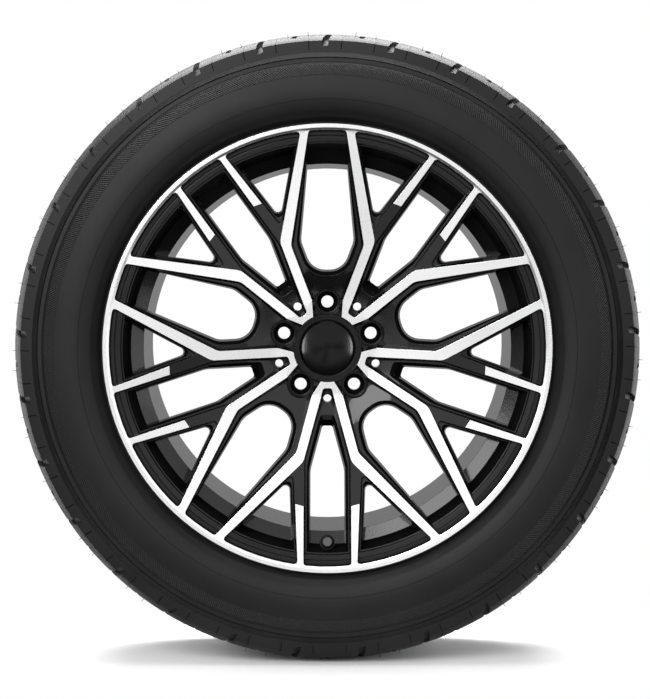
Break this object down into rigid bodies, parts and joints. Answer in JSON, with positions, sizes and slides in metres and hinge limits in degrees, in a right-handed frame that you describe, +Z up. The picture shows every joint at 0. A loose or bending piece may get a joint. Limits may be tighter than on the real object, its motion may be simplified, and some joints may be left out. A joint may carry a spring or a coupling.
{
  "type": "wheel and tyre assembly",
  "caption": "Cast alloy car wheel with split V spokes, low profile tyre, domed centre cap and snap-in valve with its cap.",
  "frame": {"origin": "middle of the wheel: on its axis, half way between the two rim flanges", "axes": "+Y along the wheel's axis to the vehicle side, so the street side faces -Y; +Z up, with the valve at -Z"},
  "size_m": [0.7629, 0.2656, 0.763],
  "materials": {
    "wheel_black": "gloss black paint under clear coat, with bright diamond-turned spoke faces and lip",
    "tyre_rubber": "near-black moulded rubber, satin, finely ribbed in bands",
    "cap_black": "gloss black",
    "spring_steel": "drawn spring wire",
    "valve_rubber": "matt black",
    "valve_brass": "turned brass",
    "valve_cap_plastic": "dark grey, ribbed",
    "seal_rubber": "dark red, matt"
  },
  "bodies": {
    "wheel_and_tyre": {"wheel": "wheel_black", "tyre": "tyre_rubber", "centre_cap": "cap_black", "centre_cap_ring": "spring_steel", "valve_body": "valve_rubber", "valve_stem": "valve_brass", "valve_core": "valve_brass", "valve_core_plug": "valve_brass", "valve_spring": "spring_steel"},
    "pin": {"valve_pin": "spring_steel", "valve_pin_cup": "valve_brass"},
    "cap": {"valve_cap": "valve_cap_plastic", "valve_cap_seal": "seal_rubber"}
  },
  "joints": [
    {"name": "valve_pin_press", "type": "slide", "parent": "wheel_and_tyre", "child": "pin", "axis": [0, 0.9934, -0.1149], "range_m": [0, 0.0013], "stiffness_N_per_m": 1500, "springref_m": -0.001, "deforming": ["valve_spring"]},
    {"name": "valve_cap_off", "type": "slide", "parent": "wheel_and_tyre", "child": "cap", "axis": [0, -0.9934, 0.1149], "range_m": [0, 0.012]}
  ]
}
